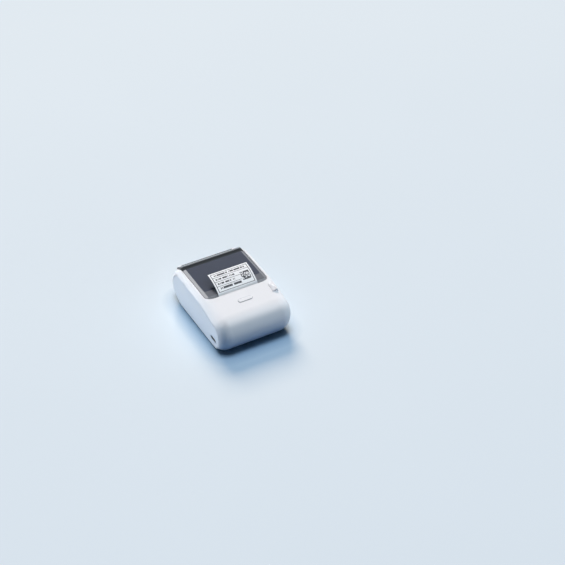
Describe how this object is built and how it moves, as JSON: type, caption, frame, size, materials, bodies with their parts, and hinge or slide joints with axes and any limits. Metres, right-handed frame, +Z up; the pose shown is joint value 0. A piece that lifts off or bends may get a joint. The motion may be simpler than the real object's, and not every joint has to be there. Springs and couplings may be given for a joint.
{
  "type": "thermal label printer",
  "caption": "Compact desktop thermal label printer with a rolled white shell, a rear-hinged dark glossy cover, feed button, cover release and a printed label curling out of its slot.",
  "frame": {"origin": "under the middle of the body, at the bottom of the feet", "axes": "+X to the printer's right, +Y to its rear, +Z up"},
  "size_m": [0.0934, 0.133, 0.0627],
  "materials": {
    "white_shell": "fine satin",
    "dark_cover": "polished, slightly smoky",
    "grey_moulding": "plain moulded",
    "frame_plate": "dull grey coat",
    "soft_rubber": "matt",
    "bright_steel": "ground",
    "bearing_brass": "turned",
    "gear_nylon": "moulded nylon",
    "head_ceramic": "glazed ceramic",
    "head_aluminium": "milled",
    "label_paper": "coated label paper",
    "core_card": "wound card",
    "flat_cable": "amber film",
    "circuit_board": "solder mask",
    "black_plastic": "moulded",
    "battery_pouch": "silver film"
  },
  "bodies": {
    "base": {"upper_case": "white_shell", "lower_case": "white_shell", "paper_guide": "grey_moulding", "mechanism_frame": "frame_plate", "rubber_feet": "soft_rubber", "case_screws": "bright_steel", "frame_screws": "bright_steel", "board_screws": "bright_steel", "hinge_pins": "bright_steel", "idler_axle": "bright_steel", "reduction_axle": "bright_steel", "head_spring": "bright_steel", "latch_spring": "bright_steel", "tear_bar": "bright_steel", "usb_socket": "bright_steel", "feed_motor": "bright_steel", "label_web": "label_paper", "head_ribbon": "flat_cable", "main_board": "circuit_board", "button_board": "circuit_board", "label_sensor": "black_plastic", "feed_switch": "black_plastic", "reset_switch": "black_plastic", "battery_pack": "battery_pouch"},
    "lid": {"top_cover": "dark_cover", "lid_frame": "grey_moulding", "lid_screws": "bright_steel", "platen_bushes": "bearing_brass", "printed_label": "label_paper"},
    "platen": {"platen_shaft": "bright_steel", "platen_rubber": "soft_rubber", "platen_gear": "gear_nylon"},
    "idler": {"idler_gear": "gear_nylon"},
    "reduction": {"reduction_gear": "gear_nylon"},
    "motor_rotor": {"motor_shaft": "bright_steel", "motor_pinion": "bearing_brass"},
    "roll": {"label_roll": "label_paper", "roll_core": "core_card"},
    "right_guide": {"guide_right": "grey_moulding", "rack_right": "grey_moulding"},
    "left_guide": {"guide_left": "grey_moulding", "rack_left": "grey_moulding"},
    "pinion": {"guide_pinion": "gear_nylon"},
    "head": {"print_head": "head_ceramic", "heat_sink": "head_aluminium"},
    "button": {"feed_button": "white_shell"},
    "release": {"release_slider": "white_shell", "latch_hook": "grey_moulding"}
  },
  "joints": [
    {"name": "lid_hinge", "type": "hinge", "parent": "base", "child": "lid", "pos_m": [0, 0.06, 0.043], "axis": [-1, 0, 0], "range_deg": [0, 100]},
    {"name": "platen_spin", "type": "hinge", "parent": "lid", "child": "platen", "pos_m": [0, -0.0137, 0.0424], "axis": [1, 0, 0], "continuous": true},
    {"name": "idler_spin", "type": "hinge", "parent": "base", "child": "idler", "pos_m": [0, -0.0137, 0.0304], "axis": [1, 0, 0], "continuous": true},
    {"name": "reduction_spin", "type": "hinge", "parent": "base", "child": "reduction", "pos_m": [0, -0.02441, 0.0265], "axis": [1, 0, 0], "continuous": true},
    {"name": "motor_spin", "type": "hinge", "parent": "base", "child": "motor_rotor", "pos_m": [0, -0.03978, 0.02379], "axis": [1, 0, 0], "continuous": true},
    {"name": "roll_spin", "type": "hinge", "parent": "base", "child": "roll", "pos_m": [0, 0.024, 0.027], "axis": [1, 0, 0], "continuous": true},
    {"name": "right_guide_slide", "type": "slide", "parent": "base", "child": "right_guide", "axis": [1, 0, 0], "range_m": [0, 0.005]},
    {"name": "left_guide_slide", "type": "slide", "parent": "base", "child": "left_guide", "axis": [1, 0, 0], "range_m": [-0.005, 0]},
    {"name": "guide_pinion_turn", "type": "hinge", "parent": "base", "child": "pinion", "pos_m": [0, 0.024, 0.0042], "axis": [0, 0, 1], "range_deg": [0, 60]},
    {"name": "head_tilt", "type": "hinge", "parent": "base", "child": "head", "pos_m": [0, -0.02085, 0.032], "axis": [1, 0, 0], "range_deg": [0, 3], "stiffness_Nm_per_rad": 0.5, "deforming": ["head_spring"]},
    {"name": "button_press", "type": "slide", "parent": "base", "child": "button", "axis": [0, 0.1736, -0.9848], "range_m": [0, 0.0008], "stiffness_N_per_m": 300},
    {"name": "release_slide", "type": "slide", "parent": "base", "child": "release", "axis": [0, 0.9848, 0.1736], "range_m": [0, 0.004], "stiffness_N_per_m": 150, "deforming": ["latch_spring"]}
  ],
  "couplings": [
    {"joint": "idler_spin", "follows": "platen_spin", "ratio": -0.66667},
    {"joint": "reduction_spin", "follows": "platen_spin", "ratio": 1.1429},
    {"joint": "motor_spin", "follows": "platen_spin", "ratio": -3.8095},
    {"joint": "roll_spin", "follows": "platen_spin", "ratio": 0.2375},
    {"joint": "left_guide_slide", "follows": "right_guide_slide", "ratio": -1},
    {"joint": "guide_pinion_turn", "follows": "right_guide_slide", "rad_per_m": 208.33}
  ]
}
